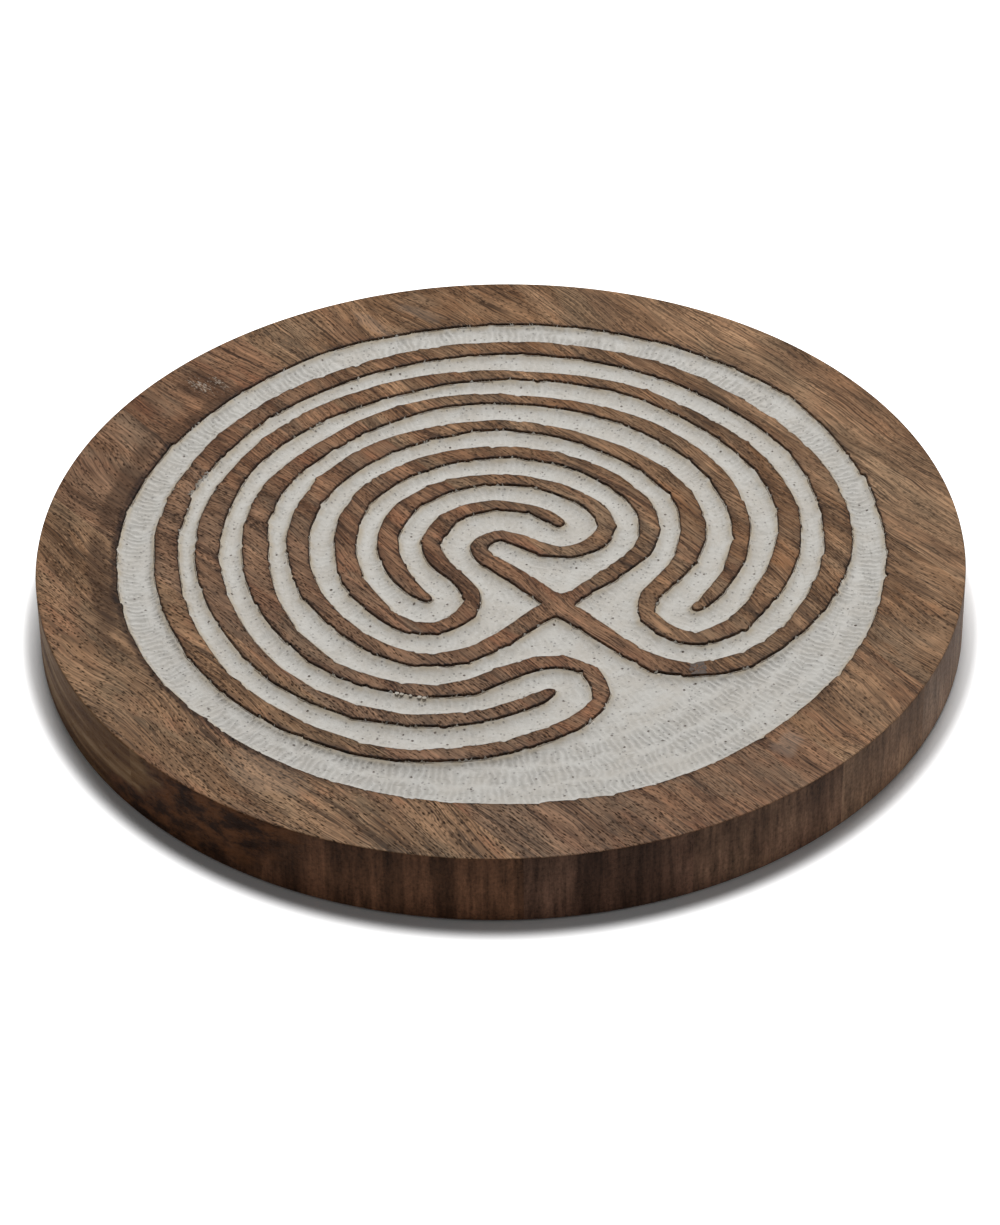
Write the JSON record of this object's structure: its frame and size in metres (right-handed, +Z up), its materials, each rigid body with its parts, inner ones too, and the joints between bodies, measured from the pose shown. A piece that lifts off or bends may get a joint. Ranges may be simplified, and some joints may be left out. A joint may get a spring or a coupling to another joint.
{
  "type": "finger labyrinth board",
  "caption": "Round wooden finger labyrinth board: a carved, white-painted winding path between smooth raised wood ridges inside a plain rim, made to be traced with a fingertip.",
  "frame": {"origin": "centre of the flat underside of the round board", "axes": "+Z up through the carved face; grain and glue joints along Y; the mouth of the path and its widest white area on the -Y side"},
  "size_m": [0.305, 0.305, 0.0254],
  "materials": {
    "stave_wood_1": "sanded, thin matt oil, open grain, grey-brown",
    "stave_wood_2": "sanded, thin matt oil, open grain, mid brown",
    "stave_wood_3": "sanded, thin matt oil, open grain, reddish brown",
    "stave_wood_4": "sanded, thin matt oil, open grain, dark streaks",
    "stave_wood_5": "sanded, thin matt oil, open grain, orange brown",
    "stave_wood_6": "sanded, thin matt oil, open grain, tan brown",
    "chalk_paint": "chalky off-white paint, brushed over gouge marks, matt",
    "wood_filler": "grey-brown wood filler, sanded flush"
  },
  "bodies": {
    "root": {"stave_1": "stave_wood_1", "stave_2": "stave_wood_2", "stave_3": "stave_wood_3", "stave_4": "stave_wood_4", "stave_5": "stave_wood_5", "stave_6": "stave_wood_6", "path_paint": "chalk_paint", "ridge_filler": "wood_filler"}
  },
  "joints": []
}
